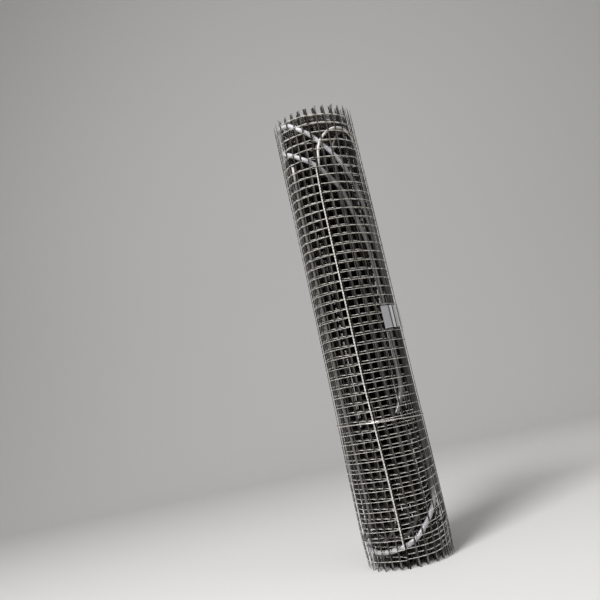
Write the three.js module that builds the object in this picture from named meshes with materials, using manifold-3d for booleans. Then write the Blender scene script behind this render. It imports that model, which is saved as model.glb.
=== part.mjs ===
// Underfloor heating mat, rolled up and standing on one end.
// Millimetres, +Z up. The origin is the middle of the lower end of the roll,
// and the free outer edge of the mat faces -Y, a little to the left.
import * as THREE from 'three';
import { mergeVertices } from 'three/addons/utils/BufferGeometryUtils.js';
import Module from 'manifold-3d';

// Net: square cells, with cut strand ends standing out of both edges
const cellPitch = 10;
const rowCount = 49;
const lowerFringe = 9;
const upperFringe = 7;

// Roll: outer radius, number of turns, their spacing and the wall of one turn
const rollRadius = 47.2;
const turnCount = 10;
const turnPitch = 3.5;
const turnWall = 1.2;
const rollFacets = 36;

// Heating cable: thickness, how far its first run has moved away from the
// free edge at the first half-turn, distance between its runs, how far its
// half-turns stay inside the two edges of the mat, and its ends' heights
const cableThickness = 3;
const cableInset = 3.5;
const cableRunSpacing = 61;
const cableRunCount = 5;
const cableTopMargin = 27;
const cableBottomMargin = 28;
const cableStartHeight = 70;
const cableEndMargin = 62;
const halfTurnSteps = 9;

// Free edge of the mat: where it lies at half height, and how far it leans
// from the lower to the upper end, both in degrees seen from above
const edgeAngle = -10;
const edgeLean = -2;

// Cold lead: the thicker supply lead that is rolled up inside the last turn
const leadThickness = 5;
const leadSteps = 80;

// Tie: a thin wire round the roll, with its two ends laid over each other
const tieThickness = 1.6;
const tieHeight = 147;
const tieTilt = 3;
const tieLapStart = -12;
const tieLap = 31;
const tieSteps = 64;

// Label: a strip of film on the outside of the roll
const labelHeight = 24;
const labelFoot = 240;
const labelStart = 36;
const labelLength = 48;
const labelFilm = 0.6;

// Fit: air between pieces, how far a cable stands out of its channel, and
// how far a cutting shape reaches past the surface that it cuts
const clearance = 0.3;
const cableProud = 0.1;
const cutOver = 4;
const tubeSides = 8;

// Worked out from the sizes above
const matWidth = lowerFringe + (rowCount - 1) * cellPitch + upperFringe;
const boreRadius = rollRadius - (turnCount - 1) * turnPitch - turnWall;
const cableRadius = rollRadius + cableProud - cableThickness / 2;
const leadShallow = rollRadius + cableProud - leadThickness / 2;
const leadDeep = cableRadius - cableThickness / 2 - clearance - leadThickness / 2;
const skinRadius = rollRadius + cableProud + clearance;

const netColour = 0x4a4744;
const cableColour = 0xb9b5b0;
const leadColour = 0xcfcbd6;
const tieColour = 0xd9d4ca;
const labelColour = 0xe6e5ea;

// A line that runs on or in the roll. Each of its points is an angle in
// degrees to the right of the front, a height, and a distance from the axis.
class RollLine extends THREE.Curve {

	constructor( points ) {

		super();
		this.points = points;

	}

	getPoint( t, target = new THREE.Vector3() ) {

		const spans = this.points.length - 1;
		const span = Math.min( Math.floor( t * spans ), spans - 1 );
		const share = t * spans - span;
		const here = this.points[ span ];
		const there = this.points[ span + 1 ];
		const [ angle, height, radius ] = here.map( ( value, i ) => value + ( there[ i ] - value ) * share );
		const turned = THREE.MathUtils.degToRad( angle );
		return target.set( radius * Math.sin( turned ), - radius * Math.cos( turned ), height );

	}

	// Sections stand exactly at the points, wherever those are close or far
	getUtoTmapping( u ) {

		return u;

	}

	// One axis of each section points straight out of the roll
	computeFrenetFrames( steps ) {

		const frames = { tangents: [], normals: [], binormals: [] };
		const half = 0.5 / steps;
		for ( let step = 0; step <= steps; step ++ ) {

			const t = step / steps;
			const before = this.getPoint( Math.max( t - half, 0 ) );
			const after = this.getPoint( Math.min( t + half, 1 ) );
			const tangent = after.sub( before ).normalize();
			const outward = this.getPoint( t ).setZ( 0 ).normalize();
			const binormal = new THREE.Vector3().crossVectors( tangent, outward ).normalize();
			const normal = new THREE.Vector3().crossVectors( binormal, tangent );
			frames.tangents.push( tangent );
			frames.normals.push( normal );
			frames.binormals.push( binormal );

		}

		return frames;

	}

}

function alongLine( section, line ) {

	return new THREE.ExtrudeGeometry( section, { steps: line.points.length - 1, extrudePath: line } );

}

function roundTube( line, thickness ) {

	const corners = [];
	for ( let side = 0; side < tubeSides; side ++ ) {

		const turned = ( side + 0.5 ) / tubeSides * 2 * Math.PI;
		corners.push( new THREE.Vector2( Math.cos( turned ), Math.sin( turned ) ).multiplyScalar( thickness / 2 ) );

	}

	return alongLine( new THREE.Shape( corners ), line );

}

// The channel that a cable lies in: square, and open to the outside
function channel( line, thickness ) {

	const reach = thickness / 2 + clearance;
	const section = new THREE.Shape( [
		new THREE.Vector2( - reach, - reach ),
		new THREE.Vector2( reach + cutOver, - reach ),
		new THREE.Vector2( reach + cutOver, reach ),
		new THREE.Vector2( - reach, reach ),
	] );
	return alongLine( section, line );

}

// The heating cable zigzags up and down the mat, with a half-turn at each
// end of a run. The first run starts under the free edge of the mat and
// leans to the right, and the others follow, all the way round.
function heatingCableLine() {

	const turnRadius = cableRunSpacing / 2;
	const top = matWidth - cableTopMargin - turnRadius;
	const bottom = cableBottomMargin + turnRadius;
	const lean = ( height ) => edgeLean * ( height / matWidth - 0.5 );
	const degrees = ( along ) => THREE.MathUtils.radToDeg( ( cableInset + along ) / cableRadius );
	const point = ( along, height ) => [ edgeAngle + degrees( along ) + lean( height ), height, cableRadius ];
	const points = [ point( - cableInset, cableStartHeight ) ];
	for ( let run = 0; run < cableRunCount - 1; run ++ ) {

		const goesUp = run % 2 === 0;
		const middle = ( run + 0.5 ) * cableRunSpacing;
		const base = goesUp ? top : bottom;
		const rise = goesUp ? turnRadius : - turnRadius;
		for ( let step = 0; step <= halfTurnSteps; step ++ ) {

			const turned = step / halfTurnSteps * Math.PI;
			points.push( point( middle - turnRadius * Math.cos( turned ), base + rise * Math.sin( turned ) ) );

		}

	}

	points.push( point( ( cableRunCount - 1 ) * cableRunSpacing, matWidth - cableEndMargin ) );
	return new RollLine( points );

}

// The lead crosses the roll twice below its upper end, runs down on the
// right, and passes round the lower end. Heights near the upper end are
// measured down from it. Between the cable's runs it lies just under the
// surface, and it passes below each run.
function coldLeadLine() {

	const fromTop = ( angle, below, radius = leadDeep ) => new THREE.Vector3( angle, matWidth - below, radius );
	const fromFoot = ( angle, height, radius = leadDeep ) => new THREE.Vector3( angle, height, radius );
	const smooth = new THREE.CatmullRomCurve3( [
		fromFoot( 27, 151 ),
		fromFoot( 37, 161 ),
		fromFoot( 47, 176 ),
		fromFoot( 51, 200 ),
		fromFoot( 54, 240 ),
		fromTop( 54, 206 ),
		fromTop( 52, 163 ),
		fromTop( 46, 146 ),
		fromTop( 35, 124 ),
		fromTop( 23, 98 ),
		fromTop( 12, 86 ),
		fromTop( - 2, 73 ),
		fromTop( - 15, 63 ),
		fromTop( - 29, 55, leadShallow ),
		fromTop( - 42, 48, leadShallow ),
		fromTop( - 66, 38, leadShallow ),
		fromTop( - 84, 35 ),
		fromTop( - 108, 37 ),
		fromTop( - 132, 47 ),
		fromTop( - 150, 44 ),
		fromTop( - 158, 31 ),
		fromTop( - 150, 17 ),
		fromTop( - 132, 11 ),
		fromTop( - 108, 9 ),
		fromTop( - 84, 9 ),
		fromTop( - 64, 9, leadShallow ),
		fromTop( - 45, 11, leadShallow ),
		fromTop( - 33, 16, leadShallow ),
		fromTop( - 20, 24, leadShallow ),
		fromTop( - 7, 32 ),
		fromTop( 8, 44 ),
		fromTop( 25, 58 ),
		fromTop( 44, 78 ),
		fromTop( 60, 98 ),
		fromTop( 71, 134 ),
		fromTop( 78, 196 ),
		fromFoot( 81, 230 ),
		fromFoot( 81, 165 ),
		fromFoot( 77, 105 ),
		fromFoot( 66, 62 ),
		fromFoot( 50, 48 ),
		fromFoot( 34, 38 ),
		fromFoot( 14, 27 ),
		fromFoot( - 8, 21 ),
		fromFoot( - 45, 17 ),
		fromFoot( - 87, 20 ),
		fromFoot( - 122, 27 ),
		fromFoot( - 148, 36 ),
	] );
	return new RollLine( smooth.getSpacedPoints( leadSteps ).map( ( point ) => point.toArray() ) );

}

// The tie goes once round and then on past its own start, one wire higher
function tieLine() {

	const points = [];
	const climb = tieThickness + clearance;
	const radius = skinRadius + tieThickness / 2;
	for ( let step = 0; step <= tieSteps; step ++ ) {

		const turned = step / tieSteps * ( 360 + tieLap );
		const angle = tieLapStart + turned;
		const tilt = - tieTilt * Math.sin( THREE.MathUtils.degToRad( angle ) );
		points.push( [ angle, tieHeight + tilt + climb * turned / 360, radius ] );

	}

	return new RollLine( points );

}

// One turned solid with its bore. At each end the turns stand apart as
// rings, with a groove between them as deep as the strand ends are long.
function rolledNet() {

	const crest = ( turn ) => boreRadius + turn * turnPitch;
	const foot = [];
	const head = [];
	for ( let turn = 0; turn < turnCount; turn ++ ) {

		foot.push( new THREE.Vector2( crest( turn ), 0 ) );
		foot.push( new THREE.Vector2( crest( turn ) + turnWall, 0 ) );
		head.push( new THREE.Vector2( crest( turn ), matWidth ) );
		head.push( new THREE.Vector2( crest( turn ) + turnWall, matWidth ) );
		if ( turn < turnCount - 1 ) {

			const groove = crest( turn ) + ( turnWall + turnPitch ) / 2;
			foot.push( new THREE.Vector2( groove, lowerFringe ) );
			head.push( new THREE.Vector2( groove, matWidth - upperFringe ) );

		}

	}

	const outline = [ ...foot, ...head.reverse(), foot[ 0 ].clone() ];
	return new THREE.LatheGeometry( outline, rollFacets ).rotateX( Math.PI / 2 );

}

// A strip of film that follows the roll
function labelStrip() {

	const inner = skinRadius;
	const outer = skinRadius + labelFilm;
	const start = THREE.MathUtils.degToRad( labelStart - 90 );
	const end = start + labelLength / inner;
	const section = new THREE.Shape();
	section.absarc( 0, 0, outer, start, end, false );
	section.absarc( 0, 0, inner, end, start, true );
	return new THREE.ExtrudeGeometry( section, { depth: labelHeight, bevelEnabled: false, curveSegments: 12 } );

}

const wasm = await Module();
wasm.setup();

function toSolid( geometry ) {

	const bare = geometry.clone();
	bare.deleteAttribute( 'normal' );
	bare.deleteAttribute( 'uv' );
	const merged = mergeVertices( bare );
	const vertProperties = new Float32Array( merged.attributes.position.array );
	const triVerts = new Uint32Array( merged.index.array );
	return new wasm.Manifold( new wasm.Mesh( { numProp: 3, vertProperties, triVerts } ) );

}

function toGeometry( solid ) {

	const mesh = solid.getMesh();
	const geometry = new THREE.BufferGeometry();
	geometry.setAttribute( 'position', new THREE.BufferAttribute( mesh.vertProperties, 3 ) );
	geometry.setIndex( new THREE.BufferAttribute( mesh.triVerts, 1 ) );
	geometry.computeVertexNormals();
	return geometry;

}

function piece( name, geometry, color, roughness, metalness = 0 ) {

	const mesh = new THREE.Mesh( geometry, new THREE.MeshStandardMaterial( { color, roughness, metalness } ) );
	mesh.name = name;
	return mesh;

}

const cableLine = heatingCableLine();
const leadLine = coldLeadLine();
const channelled = toSolid( rolledNet() )
	.subtract( toSolid( channel( cableLine, cableThickness ) ) )
	.subtract( toSolid( channel( leadLine, leadThickness ) ) );

const label = piece( 'label', labelStrip(), labelColour, 0.45 );
label.position.z = labelFoot;

const mat = new THREE.Group();
mat.add( piece( 'mesh_roll', toGeometry( channelled ), netColour, 0.55 ) );
mat.add( piece( 'heating_cable', roundTube( cableLine, cableThickness ), cableColour, 0.4 ) );
mat.add( piece( 'cold_lead', roundTube( leadLine, leadThickness ), leadColour, 0.45 ) );
mat.add( piece( 'tie_wire', roundTube( tieLine(), tieThickness ), tieColour, 0.35 ) );
mat.add( label );

export default mat;
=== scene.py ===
# %% [markdown]
# # A rolled-up underfloor heating mat
#
# The real object is half a metre of open, square-celled net with a thin
# heating cable zigzagging over it, wound into a roll, tied with a wire and
# stood on one end. This lesson builds it strand by strand: first the
# mathematics of the roll, then the net, the cables, the label and the tie.
# The fixed model gives the overall sizes, and this script dresses it.

# %% Load the fixed model and note its size
import math

import bpy
import numpy as np
from mathutils import Matrix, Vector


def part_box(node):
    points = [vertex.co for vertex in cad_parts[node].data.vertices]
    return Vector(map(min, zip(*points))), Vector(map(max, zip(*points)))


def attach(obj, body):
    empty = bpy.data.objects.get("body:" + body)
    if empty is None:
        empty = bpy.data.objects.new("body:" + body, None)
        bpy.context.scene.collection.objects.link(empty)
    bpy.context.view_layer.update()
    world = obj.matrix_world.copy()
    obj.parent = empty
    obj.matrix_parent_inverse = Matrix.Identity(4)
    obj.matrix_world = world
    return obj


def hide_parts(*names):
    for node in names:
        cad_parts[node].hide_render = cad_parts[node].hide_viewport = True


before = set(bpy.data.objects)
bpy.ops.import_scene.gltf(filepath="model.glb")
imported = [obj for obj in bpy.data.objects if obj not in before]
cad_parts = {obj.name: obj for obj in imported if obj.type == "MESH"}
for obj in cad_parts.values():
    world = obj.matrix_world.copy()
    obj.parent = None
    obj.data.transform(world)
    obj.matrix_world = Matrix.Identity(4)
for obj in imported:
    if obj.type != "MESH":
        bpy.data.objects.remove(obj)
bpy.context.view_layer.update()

mm = 0.001
roll_low, roll_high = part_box("mesh_roll")
roll_height = roll_high.z - roll_low.z
roll_radius = (roll_high.x - roll_low.x) / 2
print("roll", round(roll_height, 4), "m tall,", round(roll_radius, 4), "m radius")

# %% [markdown]
# ## The camera
#
# The photograph looks slightly up at the roll from three quarters of a
# metre away, and the roll leans to the left in it. The model stands
# upright, so here the camera is rolled instead, which gives the same
# picture. The lens comes from how fast the rows of the net bunch up
# towards the ends.

# %% Camera
camera_distance = 774 * mm
camera_height = 176 * mm
camera_pan = -4.28
camera_tilt = 8.7
camera_roll = 12.2
picture_width = 600
focal_pixels = 700

camera = bpy.data.cameras.new("camera")
camera.sensor_width = 36
camera.lens = camera.sensor_width * focal_pixels / picture_width
camera_object = bpy.data.objects.new("camera", camera)
bpy.context.scene.collection.objects.link(camera_object)
camera_object.matrix_world = (
    Matrix.Translation((0, -camera_distance, camera_height))
    @ Matrix.Rotation(math.radians(-camera_pan), 4, "Z")
    @ Matrix.Rotation(math.radians(90 + camera_tilt), 4, "X")
    @ Matrix.Rotation(math.radians(-camera_roll), 4, "Z")
)
bpy.context.scene.camera = camera_object
print("lens", round(camera.lens, 1), "mm")

# %% [markdown]
# ## A small language for materials
#
# A Blender material is a graph of nodes. Drawing one by hand is easy, and
# building one in Python is wordy, so this class wraps one output socket and
# turns ordinary arithmetic into Math nodes. `Shader.node` makes any other
# node from its type, its settings and its socket values.

# %% Sockets that can be added and multiplied
def math_operation(operation, *values):
    graph = next(value for value in values if isinstance(value, Field)).graph
    node = graph.node("ShaderNodeMath", {"operation": operation}, dict(enumerate(values)))
    return node[0]


class Field:
    """One output socket of a material, which Python operators can work on."""

    def __init__(self, graph, socket):
        self.graph = graph
        self.socket = socket

    def __add__(self, other):
        return math_operation("ADD", self, other)

    def __radd__(self, other):
        return math_operation("ADD", other, self)

    def __sub__(self, other):
        return math_operation("SUBTRACT", self, other)

    def __rsub__(self, other):
        return math_operation("SUBTRACT", other, self)

    def __mul__(self, other):
        return math_operation("MULTIPLY", self, other)

    def __rmul__(self, other):
        return math_operation("MULTIPLY", other, self)


# %% A material that is written as expressions
class Shader:
    """A material with a Principled surface, built from named nodes."""

    def __init__(self, name):
        self.material = bpy.data.materials.new(name)
        self.material.use_nodes = True
        self.tree = self.material.node_tree
        self.surface = self.tree.nodes["Principled BSDF"]

    def node(self, kind, settings=None, inputs=None):
        made = self.tree.nodes.new(kind)
        for key, value in (settings or {}).items():
            setattr(made, key, value)
        for key, value in (inputs or {}).items():
            self.feed(made.inputs[key], value)
        return [Field(self, socket) for socket in made.outputs]

    def feed(self, socket, value):
        if isinstance(value, Field):
            self.tree.links.new(value.socket, socket)
        else:
            socket.default_value = value

    def set(self, **inputs):
        for key, value in inputs.items():
            self.feed(self.surface.inputs[key.replace("_", " ").title()], value)

    def place(self):
        return self.node("ShaderNodeTexCoord")[3]

    def stretched(self, x, y, z):
        scale = {"operation": "MULTIPLY"}
        return self.node("ShaderNodeVectorMath", scale, {0: self.place(), 1: (x, y, z)})[0]

    def noise(self, place, scale, detail=3.0, roughness=0.5):
        inputs = {"Vector": place, "Scale": scale, "Detail": detail, "Roughness": roughness}
        return self.node("ShaderNodeTexNoise", None, inputs)[0]

    def step(self, value, low, high, out_low=0.0, out_high=1.0):
        inputs = {0: value, 1: low, 2: high, 3: out_low, 4: out_high}
        return self.node("ShaderNodeMapRange", {"interpolation_type": "SMOOTHSTEP"}, inputs)[0]

    def mix(self, share, first, second):
        return self.node("ShaderNodeMix", {"data_type": "RGBA"}, {0: share, 6: first, 7: second})[2]

    def bump(self, height, strength, distance):
        inputs = {"Height": height, "Strength": strength, "Distance": distance}
        return self.node("ShaderNodeBump", None, inputs)[0]


def colour(red, green, blue):
    return (red, green, blue, 1.0)


# %% [markdown]
# ## Coated strands
#
# The net is glass fibre in a dark, slightly glossy coat. The flat strands
# that run up the roll are bundles of straight filaments, so their streaks
# run upwards, and their cut ends are painted paler, painted light that
# falls on the free fringe. The thin yarns that run round the roll are
# twisted, and the lamps catch them as pale lines; their pale tone is partly
# their own grey and partly painted highlight. All share one recipe, and only
# the direction of the streaks and the tones differ. The inner turns get
# darker copies of the coats, painted shade, as less light gets there.

# %% Materials of the net
def strand_coat(name, dark, pale, streaks, gloss, painted_lit_end=None):
    shader = Shader(name)
    fibre = shader.noise(shader.stretched(*streaks), 1.0, 4.0, 0.6)
    patch = shader.noise(shader.place(), 90.0, 3.0)
    worn = shader.step(fibre * 0.7 + patch * 0.3, 0.42, 0.62)
    tone = shader.mix(worn, dark, pale)
    # Paler cut ends at both ends of the roll: painted light on the free fringe.
    if painted_lit_end:
        height = shader.node("ShaderNodeSeparateXYZ", None, {0: shader.place()})[2]
        lit_lower_end = shader.step(height, 10 * mm, 6 * mm)
        lit_upper_end = shader.step(height, roll_height - 7 * mm, roll_height - 3 * mm)
        tone = shader.mix(lit_lower_end + lit_upper_end, tone, painted_lit_end)
    shader.set(
        base_color=tone,
        roughness=shader.step(patch, 0.3, 0.7, gloss - 0.08, gloss + 0.12),
        normal=shader.bump(fibre, 0.5, 0.15 * mm),
    )
    shader.surface.inputs["Specular IOR Level"].default_value = 0.25
    return shader.material


upward_streaks = (1800, 1800, 60)
round_streaks = (160, 160, 2600)
cord_streaks = (400, 400, 900)
# The flat strands' paler cut ends are painted light.
flat_strand = strand_coat(
    "flat strand",
    colour(0.022, 0.020, 0.017),
    colour(0.100, 0.093, 0.083),
    upward_streaks,
    0.5,
    painted_lit_end=colour(0.16, 0.155, 0.15),
)
# A darker copy of the flat strand coat: painted shade for the inner turns.
shaded_inner_strand = strand_coat(
    "inner flat strand", colour(0.008, 0.007, 0.005), colour(0.026, 0.023, 0.019), upward_streaks, 0.6
)
# The yarn's pale tone is partly its own grey and partly painted highlight.
twisted_yarn = strand_coat(
    "twisted yarn", colour(0.46, 0.44, 0.405), colour(0.80, 0.775, 0.72), round_streaks, 0.38
)
# A darker copy of the yarn coat: painted shade for the inner turns.
shaded_inner_yarn = strand_coat(
    "inner yarn", colour(0.034, 0.030, 0.025), colour(0.090, 0.083, 0.073), round_streaks, 0.5
)
pale_cord = strand_coat(
    "edge cord", colour(0.62, 0.60, 0.55), colour(0.86, 0.84, 0.79), cord_streaks, 0.36
)
net_coats = [flat_strand, shaded_inner_strand, twisted_yarn, shaded_inner_yarn, pale_cord]
print("coats of the net:", ", ".join(coat.name for coat in net_coats))

# %% [markdown]
# ## Cables, film and wire
#
# The heating cable has a light grey sheath and the supply lead a paler,
# cooler one, both extruded plastic with a faint unevenness from the
# machine. The cable is painted dark below its upper half-turns, painted
# shade on its runs under the net, and the lead is painted dark in the same
# way where it runs upright under the net. The label is plain white film
# with dark lines of painted shade and a grey part of painted shade. The tie
# is thin bright wire.

# %% Materials of the cables
# Heights between which the cable runs are painted dark, painted shade under the net.
shade_top = roll_height - 56 * mm
shade_fade = 25 * mm


def cable_sheath(name, clean, scuffed, painted_shade, gloss, shade_from):
    shader = Shader(name)
    height = shader.node("ShaderNodeSeparateXYZ", None, {0: shader.place()})[2]
    # Between these heights the sheath is painted dark: painted shade on the runs under the net.
    shade_above_foot = shader.step(height, shade_from, shade_from + shade_fade)
    shade_below_head = shader.step(height, shade_top, shade_top - shade_fade)
    cloud = shader.noise(shader.place(), 55.0, 3.0)
    scratch = shader.noise(shader.stretched(900, 900, 90), 1.0, 4.0, 0.65)
    scuff = shader.step(scratch * 0.6 + cloud * 0.4, 0.50, 0.68)
    shader.set(
        base_color=shader.mix(shade_above_foot * shade_below_head, shader.mix(scuff, clean, scuffed), painted_shade),
        roughness=shader.step(cloud, 0.3, 0.7, gloss, gloss + 0.15),
        normal=shader.bump(scratch + cloud, 0.25, 0.1 * mm),
    )
    shader.surface.inputs["Coat Weight"].default_value = 0.3
    shader.surface.inputs["Coat Roughness"].default_value = 0.2
    return shader.material


cable_grey = cable_sheath(
    "heating cable sheath",
    colour(0.66, 0.64, 0.60),
    colour(0.50, 0.48, 0.45),
    painted_shade=colour(0.13, 0.125, 0.115),
    gloss=0.3,
    shade_from=0,
)
# A darker copy of the cable sheath: painted shade for the cable under the outer turn.
shaded_inner_cable_grey = cable_sheath(
    "inner cable sheath",
    colour(0.10, 0.097, 0.092),
    colour(0.07, 0.068, 0.064),
    painted_shade=colour(0.06, 0.057, 0.053),
    gloss=0.4,
    shade_from=0,
)
lead_grey = cable_sheath(
    "supply lead sheath",
    colour(0.56, 0.555, 0.58),
    colour(0.36, 0.355, 0.375),
    painted_shade=colour(0.17, 0.165, 0.165),
    gloss=0.2,
    shade_from=50 * mm,
)
# Above this height the cables carry no painted shade.
print("cables are clean above", round(shade_top / mm), "mm")


# %% Bright wire
def bright_wire():
    shader = Shader("bright tie wire")
    draw_mark = shader.noise(shader.stretched(400, 400, 3000), 1.0, 3.0)
    shader.set(
        base_color=shader.mix(draw_mark, colour(0.62, 0.60, 0.56), colour(0.86, 0.84, 0.80)),
        roughness=shader.step(draw_mark, 0.3, 0.7, 0.25, 0.45),
        normal=shader.bump(draw_mark, 0.3, 0.05 * mm),
        metallic=0.85,
    )
    return shader.material


tie_bright = bright_wire()

# %% [markdown]
# ## The mathematics of the roll
#
# A roll is a flat sheet whose distance from its free edge has been turned
# into an angle. Each turn has the shape of the one outside it, only
# smaller by the turn pitch. The last two fifths of every turn slope inwards,
# so that it slips under the one outside it. Adding up arc lengths once gives a
# table that turns any distance along the mat into its place on the roll.

# %% Net and roll sizes
cell = 10 * mm
row_count = 49
lower_fringe = 9 * mm
upper_fringe = roll_height - lower_fringe - (row_count - 1) * cell
strand_width = 2.0 * mm
strand_thickness = 0.5 * mm
yarn_radius = 0.25 * mm
net_half = strand_thickness / 2 + 2 * yarn_radius

turn_count = 10
bore_radius = 14.6 * mm
slope_start = 0.6
net_radius = roll_radius - net_half
turn_pitch = (net_radius - bore_radius - net_half) / turn_count
edge_angle = -10.5


def smooth(value):
    value = np.clip(value, 0, 1)
    return value * value * (3 - 2 * value)


def turn_radius(turn):
    whole = np.floor(turn)
    slope = smooth((turn - whole - slope_start) / (1 - slope_start))
    return net_radius - turn_pitch * (whole + slope)


turn_table = np.linspace(0, turn_count, 4001)
arc_steps = 2 * np.pi * turn_radius((turn_table[1:] + turn_table[:-1]) / 2) * np.diff(turn_table)
along_table = np.concatenate([[0], np.cumsum(arc_steps)])
mat_length = along_table[-1]
print("turn pitch", round(turn_pitch / mm, 2), "mm, mat length", round(mat_length, 3), "m")


# %% [markdown]
# A real roll is never a perfect cylinder. This one bulges a little above
# its foot and is slimmer at its upper end, and its strands lean near both
# ends. Each turn wanders in and out by a fraction of a millimetre, and the
# net is pulled flat between two runs of the cable at the front left.
# These small errors are added in one place, so that every strand and cable
# on the roll follows them.

# %% How the roll differs from a cylinder
foot_girth = 1.022
slimming = 0.046
bulge = 0.006
bulge_middle = 85 * mm
bulge_reach = 55 * mm
drawn_in = 0.034
drawn_in_reach = 20 * mm


def girth(height):
    """How much wider than the solid model the roll is at a height."""
    bulging = bulge * np.exp(-(((height - bulge_middle) / bulge_reach) ** 2))
    narrowing = drawn_in * np.exp(-((height / drawn_in_reach) ** 2))
    return foot_girth - slimming * height / roll_height + bulging - narrowing


flat_middle = -31
flat_half = 21
flat_depth = 1.3 * mm
ridge_rise = 0.5 * mm
ridge_place = 1.15
ridge_spread = 0.03
long_wave = 0.3 * mm
short_wave = 0.25 * mm


def unevenness(angle, height):
    """How far the net lies outside its plain circle, or inside where it is below nought."""
    around = np.radians(angle)
    up = height / roll_height
    wave = long_wave * np.sin(2 * around + 4.0 * up) + short_wave * (np.sin(3 * around - 7.0 * up + 1.0) - 1)
    turned = (angle - flat_middle + 180) % 360 - 180
    flat = np.clip(1 - (turned / flat_half) ** 2, 0, None) ** 0.8
    ridge = np.exp(-((np.abs(turned) / flat_half - ridge_place) ** 2) / ridge_spread)
    return wave - flat_depth * flat + ridge_rise * ridge


foot_lean = 4.0
head_lean = 2.5


def lean(height):
    """Degrees by which the strands lean to the right near the two ends."""
    near_foot = smooth((200 * mm - height) / (150 * mm))
    near_head = smooth((height - 380 * mm) / (80 * mm))
    return foot_lean * near_foot + head_lean * near_head


print("girth at the head", round(girth(roll_height), 3))


# %% From an angle and a radius to a point
def on_roll(angle, radius, height):
    """Point, outward direction and rightward direction at an angle right of the front."""
    turned = np.radians(angle)
    outward = np.stack([np.sin(turned), -np.cos(turned), np.zeros_like(turned)], -1)
    rightward = np.stack([np.cos(turned), np.sin(turned), np.zeros_like(turned)], -1)
    point = outward * radius[..., None]
    point[..., 2] = height
    return point, outward, rightward


def outermost(angle, height):
    """Radius of the outermost turn of net at an angle and a height."""
    turn = (edge_angle + lean(height) - angle) / 360 % 1
    return turn_radius(turn) * girth(height) + unevenness(angle, height)


def settled(angle, height, reach=13):
    """The same radius with the step at the free edge smoothed away."""
    return np.mean([outermost(angle + shift, height) for shift in range(-reach, reach + 1)], axis=0)


# %% [markdown]
# ## Sweeping a section along many lines at once
#
# Every strand, yarn and cable is the same kind of shape: a small section
# carried along a line. Doing that with Blender's curve objects would mean
# thousands of curves, so one function sweeps a section along a whole block
# of lines with array arithmetic and writes a single mesh.

# %% Sweep
def sweep(name, lines, sideways, outward, section, widths=None):
    """Mesh of tubes: lines is strands by points by 3, section is corners by 2."""
    strands, points = lines.shape[:2]
    corners = len(section)
    widths = np.ones((strands, points)) if widths is None else widths
    across = section[:, 0][None, None, :, None] * widths[..., None, None]
    out = section[:, 1][None, None, :, None]
    rings = lines[:, :, None] + across * sideways[:, :, None] + out * outward[:, :, None]
    index = np.arange(strands * points * corners).reshape(strands, points, corners)
    here, ahead = index[:, :-1], index[:, 1:]
    quads = np.stack([here, np.roll(here, -1, 2), np.roll(ahead, -1, 2), ahead], -1).reshape(-1, 4)
    caps = np.concatenate([index[:, 0, ::-1], index[:, -1]])
    return mesh_of(name, rings.reshape(-1, 3), quads, caps)


def mesh_of(name, points, quads, caps):
    mesh = bpy.data.meshes.new(name)
    corners = np.concatenate([quads.ravel(), caps.ravel()])
    sizes = np.concatenate([np.full(len(quads), 4), np.full(len(caps), caps.shape[1])])
    mesh.vertices.add(len(points))
    mesh.vertices.foreach_set("co", points.ravel())
    mesh.loops.add(len(corners))
    mesh.loops.foreach_set("vertex_index", corners)
    mesh.polygons.add(len(sizes))
    mesh.polygons.foreach_set("loop_start", np.concatenate([[0], np.cumsum(sizes)[:-1]]))
    mesh.polygons.foreach_set("use_smooth", np.arange(len(sizes)) < len(quads))
    mesh.update(calc_edges=True)
    mesh.validate()
    return mesh


def ellipse(width, thickness, corners, start=0.5):
    turned = (np.arange(corners) + start) / corners * 2 * np.pi
    return np.stack([np.cos(turned) * width / 2, np.sin(turned) * thickness / 2], -1)


triangles = {}


def dress(mesh, material, slot, *nodes):
    piece = bpy.data.objects.new(mesh.name, mesh)
    bpy.context.scene.collection.objects.link(piece)
    mesh.materials.append(material)
    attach(piece, "root")
    if nodes:
        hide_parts(*nodes)
    triangles[mesh.name] = sum(len(face.vertices) - 2 for face in mesh.polygons)
    print(mesh.name, triangles[mesh.name], "triangles")
    return piece


# %% [markdown]
# ## Where the supply lead runs
#
# The supply lead is thicker than the gap between two turns, so the net
# bulges over it. Its route is needed before the net is made. The points
# are the same as in the solid model: an angle, a height, and a depth below
# the outermost turn. Left of the free edge the lead lies just under the
# net, and elsewhere it lies under the heating cable too.

# %% Points of the supply lead
cable_thickness = 3 * mm
lead_thickness = 5 * mm
lead_bulge = 0.6 * mm
lead_shallow = net_half + lead_thickness / 2 - lead_bulge
lead_deep = net_half + cable_thickness + lead_thickness / 2


def from_top(angle, below, depth=lead_deep):
    return (angle, roll_height - below * mm, depth)


def from_foot(angle, height, depth=lead_deep):
    return (angle, height * mm, depth)


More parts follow.
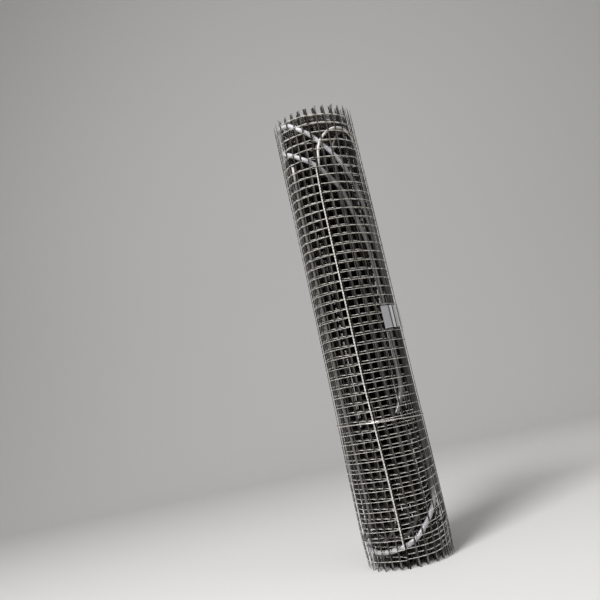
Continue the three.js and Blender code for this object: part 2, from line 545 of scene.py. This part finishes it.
lead_points = [
    from_foot(27, 151),
    from_foot(37, 161),
    from_foot(47, 176),
    from_foot(51, 200),
    from_foot(54, 240),
    from_top(54, 206),
    from_top(52, 163),
    from_top(46, 146),
    from_top(35, 124),
    from_top(23, 98),
    from_top(12, 86),
    from_top(-2, 73),
    from_top(-15, 63),
    from_top(-29, 55, lead_shallow),
    from_top(-42, 48, lead_shallow),
    from_top(-66, 38, lead_shallow),
    from_top(-84, 35),
    from_top(-108, 37),
    from_top(-132, 47),
    from_top(-150, 44),
    from_top(-158, 31),
    from_top(-150, 17),
    from_top(-132, 11),
    from_top(-108, 9),
    from_top(-84, 9),
    from_top(-64, 9, lead_shallow),
    from_top(-45, 11, lead_shallow),
    from_top(-33, 16, lead_shallow),
    from_top(-20, 24, lead_shallow),
    from_top(-7, 32),
    from_top(8, 44),
    from_top(25, 58),
    from_top(44, 78),
    from_top(60, 98),
    from_top(71, 134),
    from_top(78, 196),
    from_foot(81, 230),
    from_foot(81, 165),
    from_foot(77, 105),
    from_foot(66, 62),
    from_foot(50, 48),
    from_foot(34, 38),
    from_foot(14, 27),
    from_foot(-8, 21),
    from_foot(-45, 17),
    from_foot(-87, 20),
    from_foot(-122, 27),
    from_foot(-148, 36),
]


# %% A smooth curve through them
def catmull_rom(points, steps):
    """Smooth curve through a list of points, with a number of steps between each two."""
    points = np.array(points)
    longer = np.concatenate([[2 * points[0] - points[1]], points, [2 * points[-1] - points[-2]]])
    share = np.arange(steps)[:, None] / steps
    curve = []
    for before, here, ahead, beyond in zip(longer, longer[1:], longer[2:], longer[3:]):
        slope_here = (ahead - before) / 2
        slope_ahead = (beyond - here) / 2
        rise = ahead - here
        curve.append(
            here
            + slope_here * share
            + (3 * rise - 2 * slope_here - slope_ahead) * share**2
            + (slope_here + slope_ahead - 2 * rise) * share**3
        )
    return np.concatenate(curve + [points[-1:]])


lead_angle, lead_height, lead_depth = catmull_rom(lead_points, 12).T
lead_radius = settled(lead_angle, lead_height) - lead_depth
lead_line, lead_outward, _ = on_roll(lead_angle, lead_radius, lead_height)
lead_length = np.linalg.norm(np.diff(lead_line, axis=0), axis=1).sum()
print("lead that shows", round(lead_length, 3), "m")

# %% [markdown]
# ## The net gives way
#
# Where the lead passes between two turns, it pushes the outer one out and
# the inner one in, and the net stands over it like a low tent. The runs
# of heating cable press the turn below them in the same way.

# %% Room for the lead between the turns
run_angles = (-5.1, -51.5)
first_run, last_run = (
    np.interp((edge_angle - angle) / 360 % 1, turn_table, along_table) for angle in reversed(run_angles)
)
run_spacing = (last_run - first_run) / 4
print("cable runs every", round(run_spacing / mm, 1), "mm")
tent_slope = 0.22
points_at_once = 20000
most_packed = 6


def make_room(turn, angle, height, radius):
    """Radius of the net after the lead has pushed the outer turn out and the others in."""
    shape = radius.shape
    turn, angle, height, radius = turn.ravel(), angle.ravel(), height.ravel(), radius.ravel().copy()
    reach = (net_half + lead_thickness / 2) / tent_slope
    near = np.flatnonzero(radius > lead_radius.min() - 3 * lead_thickness)
    for block in np.array_split(near, max(1, len(near) // points_at_once)):
        turned = (angle[block, None] - lead_angle + 180) % 360 - 180
        sideways = np.radians(turned) * lead_radius
        distance = np.hypot(sideways, height[block, None] - lead_height)
        nearest = distance.argmin(1)
        distance = distance[np.arange(len(block)), nearest]
        tent = np.clip((reach - distance) * tent_slope, 0, None)
        beside = lead_radius[nearest]
        packed = net_half * np.clip(np.floor(turn[block]) - 1, 0, most_packed)
        pushed = np.where(
            turn[block] < 1,
            np.maximum(radius[block], beside + tent),
            np.minimum(radius[block], beside - tent - packed),
        )
        radius[block] = np.where(tent > 0, pushed, radius[block])
    return radius.reshape(shape)


# %% Dents under the runs, and any point of the mat
run_dent = 1.1 * mm
run_dent_width = 5 * mm
run_end = 50 * mm
run_fade = 20 * mm


def dent_under_run(turn, height):
    above = np.interp(turn - 1, turn_table, along_table)
    aside = (above - first_run + run_spacing / 2) % run_spacing - run_spacing / 2
    on_run = smooth((height - run_end) / run_fade) * smooth((roll_height - run_end - height) / run_fade)
    return np.where(turn > 1, run_dent * np.exp(-((aside / run_dent_width) ** 2)) * on_run, 0)


def on_mat(along, height, depth=0.0, gives_way=True):
    """Point and directions of the mat at a distance from its free edge, a height and a depth."""
    along, height, depth = (np.array(value) for value in np.broadcast_arrays(along, height, depth))
    turn = np.interp(along, along_table, turn_table)
    angle = edge_angle - 360 * turn + lean(height)
    radius = turn_radius(turn) * girth(height) + unevenness(angle, height)
    if gives_way:
        radius = make_room(turn, angle, height, radius - dent_under_run(turn, height))
    return on_roll(angle, radius - depth, height)


# %% [markdown]
# ## The net
#
# The net is a leno weave. A flat strand runs up the roll every ten
# millimetres, and round the roll go pairs of thin yarns, which twist half
# a turn between two strands and so grip each strand between them. Where
# the mat was cut, at both ends of the roll, the flat strands stand out as
# a fringe. The outer turns get the full weave. The inner ones, which only
# show as shade behind them and at the ends, get one plain yarn a row.

# %% Yarns that run round the roll
random = np.random.default_rng(7)
row_heights = lower_fringe + np.arange(row_count) * cell
row_sway = random.normal(0, 0.2 * mm, row_count)
yarn_spread = strand_thickness / 2 + yarn_radius
turn_ends = np.interp(np.arange(turn_count + 1), turn_table, along_table)
jog_size = 2.2 * mm
jog_height = 172 * mm
jog_foot = 90 * mm
print("rows", row_count, "from", round(row_heights[0] / mm), "to", round(row_heights[-1] / mm), "mm")


def jog(height):
    """The free edge steps a little to the right above the tie, where it was cut crooked."""
    below_step = smooth((jog_height - height) / (1.5 * mm))
    return -jog_size * below_step * smooth((height - jog_foot) / (80 * mm))


# %% How the rows wander from their level
foot_sag = -1.5 * mm
head_sag = 6.5 * mm
right_lift = 5.0 * mm
foot_slip = 3.4 * mm
head_slip = 2.2 * mm
row_wander = 0.25 * mm


def row_height(along, row_heights):
    """Rows sag to the right, and the second turn sits a little higher than the first."""
    turn = np.interp(along, along_table, turn_table)
    angle = (edge_angle - 360 * turn + 180) % 360 - 180
    up = row_heights / roll_height
    ahead_of_back = smooth((150 - angle) / 80)
    low_down = smooth((180 * mm - row_heights) / (150 * mm))
    sag = (foot_sag + (head_sag - foot_sag) * up) * smooth((angle + 70) / 140) * ahead_of_back
    lift = right_lift * smooth((angle - 25) / 60) * ahead_of_back * low_down
    past_edge = along - turn_ends[1]
    second = 0.55 * smooth((past_edge + 3 * mm) / (10 * mm)) + 0.45 * smooth(past_edge / (35 * mm))
    slip = (foot_slip + (head_slip - foot_slip) * up) * second
    wander = row_wander * np.sin(along / (41 * mm) + row_heights * 60)
    kept_in = smooth((roll_height - row_heights) / (20 * mm))
    shift = (wander + slip + lift - sag) * np.where(sag < 0, kept_in, 1)
    return row_heights + row_sway[:, None] + shift


# %% The twisted pairs of the outer turns
def twisted_rows(name, start, end, corners, thickness):
    along = np.arange(start, end + 0.1 * mm, cell / 4)
    flat_along = np.broadcast_to(along, (row_count, len(along)))
    height = row_height(flat_along, row_heights[:, None])
    if start < turn_ends[1] / 2:
        past_edge = random.uniform(0.2 * mm, 1.4 * mm, (row_count, 1))
        shift = jog(height) - past_edge
        flat_along = flat_along + shift * smooth(1 - flat_along / (2 * cell))
    middle, outward, _ = on_mat(flat_along, height)
    upward = np.zeros_like(outward)
    upward[..., 2] = 1
    twist = np.pi * (along - strand_width / 2) / cell
    lines, ups, outs = [], [], []
    for side in (1, -1):
        out_shift = side * yarn_spread * np.cos(twist)
        up_shift = side * thickness / 2 * np.sin(twist)
        lines.append(middle + outward * out_shift[:, None] + upward * up_shift[:, None])
        ups.append(upward)
        outs.append(outward)
    section = ellipse(thickness, 2 * yarn_radius, corners)
    return sweep(name, np.concatenate(lines), np.concatenate(ups), np.concatenate(outs), section)


# The second turn's yarns take the paler cord coat, a painted highlight, and the third turn's the darker
# inner yarn coat, painted shade.
turn_looks = [(6, 0.42 * mm, twisted_yarn), (4, 0.64 * mm, pale_cord), (4, 0.6 * mm, shaded_inner_yarn)]
for turn, (corners, thickness, material) in enumerate(turn_looks):
    name = f"net_yarns_turn_{turn + 1}"
    mesh = twisted_rows(name, turn_ends[turn], turn_ends[turn + 1], corners, thickness)
    dress(mesh, material, "coated_net", "mesh_roll")


# %% Plain yarns of the inner turns
plain_width = 1.3 * mm
plain_thickness = 0.9 * mm


def plain_rows(name, start, end):
    along = np.arange(start, end, cell / 2)
    flat_along = np.broadcast_to(along, (row_count, len(along)))
    height = row_height(flat_along, row_heights[:, None])
    middle, outward, _ = on_mat(flat_along, height)
    upward = np.zeros_like(outward)
    upward[..., 2] = 1
    return sweep(name, middle, upward, outward, ellipse(plain_width, plain_thickness, 4))


# The inner rows take the darker yarn coat, painted shade.
dress(plain_rows("net_yarns_inner", turn_ends[3], mat_length), shaded_inner_yarn, "coated_net", "mesh_roll")


# %% Flat strands that run up the roll, with their fringe
strand_offset = -3.1 * mm


def flat_strands(name, numbers, steps, corners):
    count = len(numbers)
    share = np.linspace(0, 1, steps)[None]
    foot = np.abs(random.normal(0, 0.7 * mm, (count, 1)))
    head = roll_height - np.abs(random.normal(0, 0.7 * mm, (count, 1)))
    height = foot + (head - foot) * share
    sway = 0.25 * mm * np.sin(height / (33 * mm) + numbers[:, None])
    wander = random.normal(0, 0.2 * mm, (count, 1)) + sway
    free = np.clip((lower_fringe - height) / lower_fringe, 0, 1)
    free += np.clip((height - roll_height + upper_fringe) / upper_fringe, 0, 1)
    splay = random.normal(0, 0.8 * mm, (count, 1)) * free**2
    along = strand_offset + numbers[:, None] * cell + wander + splay
    lift = random.normal(0, 0.5 * mm, (count, 1)) * free**2
    middle, outward, rightward = on_mat(along, height, depth=lift)
    gripped = np.cos(np.pi * (height - lower_fringe) / cell) ** 2
    widths = 1.08 - 0.2 * gripped - 0.2 * free
    section = ellipse(strand_width, strand_thickness, corners, 0)
    return sweep(name, middle, rightward, outward, section, widths)


strand_count = int(mat_length / cell)
outer_count = int(turn_ends[1] / cell) + 1
outer_numbers = np.arange(1, outer_count)
dress(flat_strands("net_strands_outer", outer_numbers, 149, 6), flat_strand, "coated_net", "mesh_roll")
# The inner strands take the darker coat, painted shade.
inner_numbers = np.arange(outer_count, strand_count)
dress(flat_strands("net_strands_inner", inner_numbers, 50, 4), shaded_inner_strand, "coated_net", "mesh_roll")
print("flat strands", strand_count)


# %% [markdown]
# ## The free edge
#
# The mat ends in a cord instead of a flat strand: two thick yarns wound
# round each other, which hold the ends of the rows. It is as bright as the
# rows, so it draws a line up the roll, from just above the foot to where
# the heating cable comes out from under the edge. A second, thinner cord
# lies twenty-five degrees to its right, in the middle of the roll.

# %% Cords of two yarns
edge_cord_along = 0.1 * mm
edge_cord_thickness = 1.5 * mm
edge_cord_low = 20 * mm
edge_cord_high = 425 * mm
second_cord_thickness = 1.0 * mm
second_cord_low = 190 * mm
second_cord_high = 395 * mm
second_cord_angle = 14
cord_turns = 1.5


def cord(name, along, thickness, low, high):
    height = np.arange(low, high, cell / 12)[None]
    middle, outward, rightward = on_mat(along + jog(height) * (along < cell), height)
    twist = 2 * np.pi * cord_turns * height / cell
    lines, rights, outs = [], [], []
    for side in (1, -1):
        right_shift = side * thickness * 0.25 * np.sin(twist)
        out_shift = side * thickness * 0.25 * np.cos(twist)
        lines.append(middle + rightward * right_shift[..., None] + outward * out_shift[..., None])
        rights.append(rightward)
        outs.append(outward)
    section = ellipse(thickness * 0.6, thickness * 0.6, 6)
    return sweep(name, np.concatenate(lines), np.concatenate(rights), np.concatenate(outs), section)


edge_cord = cord("net_edge_cord", edge_cord_along, edge_cord_thickness, edge_cord_low, edge_cord_high)
dress(edge_cord, pale_cord, "coated_net", "mesh_roll")
second_along = np.interp((edge_angle - second_cord_angle) / 360 % 1, turn_table, along_table)
second_cord = cord("net_second_cord", second_along, second_cord_thickness, second_cord_low, second_cord_high)
# The second cord takes the darker inner yarn coat, painted shade.
dress(second_cord, shaded_inner_yarn, "coated_net", "mesh_roll")


# %% [markdown]
# ## The heating cable
#
# One cable runs up and down the whole mat, with a half-turn at each edge.
# It is drawn on the flat mat as a zigzag and then goes through the same
# function as the net, so it is rolled up exactly as the net is.

# %% Zigzag on the flat mat
cable_top_margin = 27 * mm
cable_bottom_margin = 28 * mm
edge_shift = 4.8 * mm


def under_the_edge(height):
    """How far the run beside the free edge lies to the left of its half-turn."""
    return edge_shift * (1 - smooth((height - 400 * mm) / (45 * mm))) + jog(height)


def zigzag():
    turn_span = run_spacing / 2
    top = roll_height - cable_top_margin - turn_span
    bottom = cable_bottom_margin + turn_span
    run_steps = np.linspace(0, 1, 48, endpoint=False)
    arc_angles = np.linspace(0, np.pi, 16, endpoint=False)
    along, height = [], []
    start = first_run
    goes_up = False
    while start < mat_length - run_spacing:
        low, high = (bottom, top) if goes_up else (top, bottom)
        climb = low + (high - low) * run_steps
        aside = under_the_edge(np.append(climb, high)) * (abs(start - last_run) < turn_span)
        along.append(start + aside[:-1])
        height.append(climb)
        bend = turn_span if goes_up else -turn_span
        begin = start + aside[-1]
        reach = (start + run_spacing - begin) / 2
        along.append(begin + reach * (1 - np.cos(arc_angles)))
        height.append(high + bend * np.sin(arc_angles))
        start += run_spacing
        goes_up = not goes_up
    return np.concatenate(along), np.concatenate(height)


cable_along, cable_height = zigzag()
cable_depth = net_half + cable_thickness / 2
cable_line, cable_outward, _ = on_mat(cable_along, cable_height, cable_depth, gives_way=False)
cable_length = np.linalg.norm(np.diff(cable_line, axis=0), axis=1).sum()
print("heating cable", round(cable_length, 2), "m")


# %% Round tubes that follow one line
def tube(name, line, outward, thickness, corners):
    heading = np.gradient(line, axis=0)
    heading /= np.linalg.norm(heading, axis=1, keepdims=True)
    sideways = np.cross(heading, outward)
    sideways /= np.linalg.norm(sideways, axis=1, keepdims=True)
    upright = np.cross(sideways, heading)
    section = ellipse(thickness, thickness, corners)
    return sweep(name, line[None], sideways[None], upright[None], section)


covered = np.argmax(cable_along > turn_ends[1] + 2 * mm)
# The cable under the outer turn takes the darker sheath, painted shade.
cable_parts = [
    ("heating_cable_outer", slice(0, covered + 1), 10, cable_grey),
    ("heating_cable_inner", slice(covered, None), 8, shaded_inner_cable_grey),
]
for name, part, corners, material in cable_parts:
    mesh = tube(name, cable_line[part], cable_outward[part], cable_thickness, corners)
    dress(mesh, material, "cable_sheath", "heating_cable")
supply_lead = tube("supply_lead", lead_line, lead_outward, lead_thickness, 16)
dress(supply_lead, lead_grey, "lead_sheath", "cold_lead")

# %% [markdown]
# ## The label
#
# The label is a strip of plain white film. It lies on the outside of the
# net, and it ripples where the strands lie under it. Dark lines of painted
# shade run across it where it creases over the strands, its left part is
# painted grey as shade, and it has no lettering.

# %% Film with ripples
label_low, label_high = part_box("label")
label_start = 36.4
label_length = 48 * mm
film = 0.3 * mm
film_gap = 0.5 * mm
ripple_depth = 0.35 * mm
ripple_count = 4.3


def label_film():
    degrees = math.degrees(label_length / net_radius)
    angle = np.linspace(label_start, label_start + degrees, 97)[:, None]
    height = np.linspace(label_low.z, label_high.z, 25)[None]
    angle, height = (np.array(value) for value in np.broadcast_arrays(angle, height))
    across = (angle - label_start) / degrees
    wave = np.sin(2 * np.pi * across * ripple_count + 5 * height / roll_height)
    ripple = ripple_depth * wave * smooth(across / 0.35)
    radius = settled(angle, height) + net_half + film_gap + ripple
    outer, outward, _ = on_roll(angle, radius, height)
    inner = outer - outward * film
    return shell("label_film", outer, inner)


def shell(name, outer, inner):
    """Closed thin sheet from two grids of points."""
    rows, columns = outer.shape[:2]
    index = np.arange(rows * columns).reshape(rows, columns)
    back = index + rows * columns
    faces = [grid_faces(index), grid_faces(back)[:, ::-1]]
    rim = np.concatenate([index[:, 0], index[-1, 1:], index[-2::-1, -1], index[0, -2:0:-1]])
    ahead = np.roll(rim, -1)
    faces.append(np.stack([rim, ahead, ahead + rows * columns, rim + rows * columns], -1))
    points = np.concatenate([outer.reshape(-1, 3), inner.reshape(-1, 3)])
    return mesh_of(name, points, np.concatenate(faces), np.zeros((0, 4), int))


def grid_faces(index):
    return np.stack([index[:-1, :-1], index[1:, :-1], index[1:, 1:], index[:-1, 1:]], -1).reshape(-1, 4)


# %% White film with painted shade along its creases
# Middle and half-width in degrees of each dark line of painted shade, where the film creases over a strand.
crease_shade_lines = [(51.1, 1.3), (59.0, 1.2), (62.5, 0.6), (73.0, 1.2), (80.0, 1.4)]
crease_shade_blur = 0.25


def film_with_painted_shade():
    shader = Shader("white film with painted shade")
    x, y = shader.node("ShaderNodeSeparateXYZ", None, {0: shader.place()})[:2]
    facing = shader.node("ShaderNodeMath", {"operation": "ARCTAN2"}, {0: x, 1: 0 - y})[0]
    crease_shades = None
    for middle, half in crease_shade_lines:
        past_middle = facing - math.radians(middle)
        apart = shader.node("ShaderNodeMath", {"operation": "ABSOLUTE"}, {0: past_middle})[0]
        crease_shade = shader.step(apart, math.radians(half + crease_shade_blur), math.radians(half - crease_shade_blur))
        crease_shades = crease_shade if crease_shades is None else crease_shades + crease_shade
    cloud = shader.noise(shader.place(), 120.0)
    # Left of about 51 degrees the film is painted grey, painted shade where it faces away from the light.
    unshaded_part = shader.step(facing, 0.88, 0.93)
    shade = shader.mix(unshaded_part, colour(0.42, 0.42, 0.44), colour(0.80, 0.80, 0.80))
    shader.set(
        base_color=shader.mix(crease_shades, shade, colour(0.03, 0.03, 0.035)),
        roughness=shader.step(cloud, 0.3, 0.7, 0.30, 0.42),
        normal=shader.bump(cloud, 0.3, 0.1 * mm),
    )
    shader.surface.inputs["Coat Weight"].default_value = 0.5
    return shader.material


dress(label_film(), film_with_painted_shade(), "label_film", "label")

# %% [markdown]
# ## The tie
#
# One thin wire goes round the roll, drawn tight, so it bridges the step at
# the free edge of the mat instead of dropping into it. Its two ends are
# wound round each other for the last stretch.

# %% A taut line round the roll, with its ends twisted together
tie_thickness = 1.1 * mm
tie_height = 147 * mm
tie_tilt = 3 * mm
tie_lap_start = -12
tie_lap = 31
tie_twists = 2.5
tie_gap = 0.05 * mm
tie_fade = 12


def taut(angle, height, reach=32):
    """Radius of a line that is drawn tight over the net."""
    shifts = range(-reach, reach + 1, 2)
    bridges = [outermost(angle + shift, height) * math.cos(math.radians(shift)) for shift in shifts]
    return np.max(bridges, axis=0)


def tie_line():
    travelled = np.arange(0, 360 + tie_lap + 0.5, 1.0)
    angle = tie_lap_start + travelled
    height = tie_height - tie_tilt * np.sin(np.radians(angle))
    second = smooth((travelled - 180) / 120)
    lapped = (travelled <= tie_lap) | (travelled >= 360)
    within = np.where(travelled >= 360, travelled - 360, travelled)
    twist = 2 * np.pi * tie_twists * np.clip(within / tie_lap, 0, 1) * lapped + np.pi * second
    spread = tie_thickness * 0.55
    leaving = smooth(1 - (travelled - tie_lap) / tie_fade)
    arriving = smooth(1 + (travelled - 360) / tie_fade)
    swing = np.where(travelled < 180, leaving, arriving)
    clear = taut(angle, height) + net_half + tie_thickness / 2 + tie_gap
    radius = clear + spread * (1 - np.cos(twist)) * 0.5
    height = height + spread * np.sin(twist + 0.6) * swing
    return on_roll(angle, radius, height)


tie_path, tie_outward, _ = tie_line()
tie_mesh = tube("tie_wire_twisted", tie_path, tie_outward, tie_thickness, 10)
dress(tie_mesh, tie_bright, "tie_wire", "tie_wire")

# %% [markdown]
# ## The studio
#
# The roll stands on a pale floor that curves up into a pale wall, so no
# horizon shows. The main lamp is large and high on the left, as in the
# photograph: the round yarns glint along their whole length, and the flat
# strands stay dark. A weaker lamp on the right opens the shadows, and a
# wide one overhead lights the wall.

# %% Floor and wall in one sheet
def studio_sweep():
    bend_radius, front, back, half_width, top = 0.8, -3.0, 1.2, 4.0, 4.0
    turned = np.linspace(0, np.pi / 2, 33)
    profile = [(front, 0.0)]
    profile += [(back + bend_radius * math.sin(turn), bend_radius * (1 - math.cos(turn))) for turn in turned]
    profile.append((back + bend_radius, top))
    points = np.array([(x, y, z) for y, z in profile for x in (-half_width, half_width)])
    first = np.arange(len(profile) - 1) * 2
    quads = np.stack([first, first + 1, first + 3, first + 2], -1)
    return mesh_of("studio_floor", points, quads, np.zeros((0, 4), int))


def pale_paper():
    shader = Shader("pale studio paper")
    shader.set(base_color=colour(0.68, 0.675, 0.67), roughness=0.9)
    return shader.material


floor_mesh = studio_sweep()
floor_mesh.materials.append(pale_paper())
floor = bpy.data.objects.new("studio_floor", floor_mesh)
bpy.context.scene.collection.objects.link(floor)


# %% Lamps and soft surrounding light
def lamp(name, azimuth, elevation, distance, size, power):
    """An area lamp that faces the middle of the roll. Azimuth 0 is at the camera, minus is left."""
    light = bpy.data.lights.new(name, "AREA")
    light.shape = "DISK"
    light.size = size
    light.energy = power
    held = bpy.data.objects.new(name, light)
    held.matrix_world = (
        Matrix.Translation((0, 0, roll_height / 2))
        @ Matrix.Rotation(math.radians(azimuth), 4, "Z")
        @ Matrix.Rotation(math.radians(90 - elevation), 4, "X")
        @ Matrix.Translation((0, 0, distance))
    )
    bpy.context.scene.collection.objects.link(held)


lamp("main lamp", -30, 48, 1.7, 0.6, 32)
lamp("fill lamp", 60, 25, 2.2, 1.2, 2.5)
lamp("wall lamp", 0, 74, 2.8, 2.2, 20)

world = bpy.data.worlds.new("soft studio")
world.use_nodes = True
surround = world.node_tree.nodes["Background"]
surround.inputs["Color"].default_value = colour(1.0, 0.98, 0.95)
surround.inputs["Strength"].default_value = 0.16
bpy.context.scene.world = world
print("lamps", len(bpy.data.lights))

# %% [markdown]
# The plain view transform keeps the dark strands dark, so that the pale
# yarns stand out from them as they do in a photograph.

# %% Picture contrast
bpy.context.scene.view_settings.view_transform = "Standard"

# %% Count the triangles and finish
print("triangles in all", sum(triangles.values()))
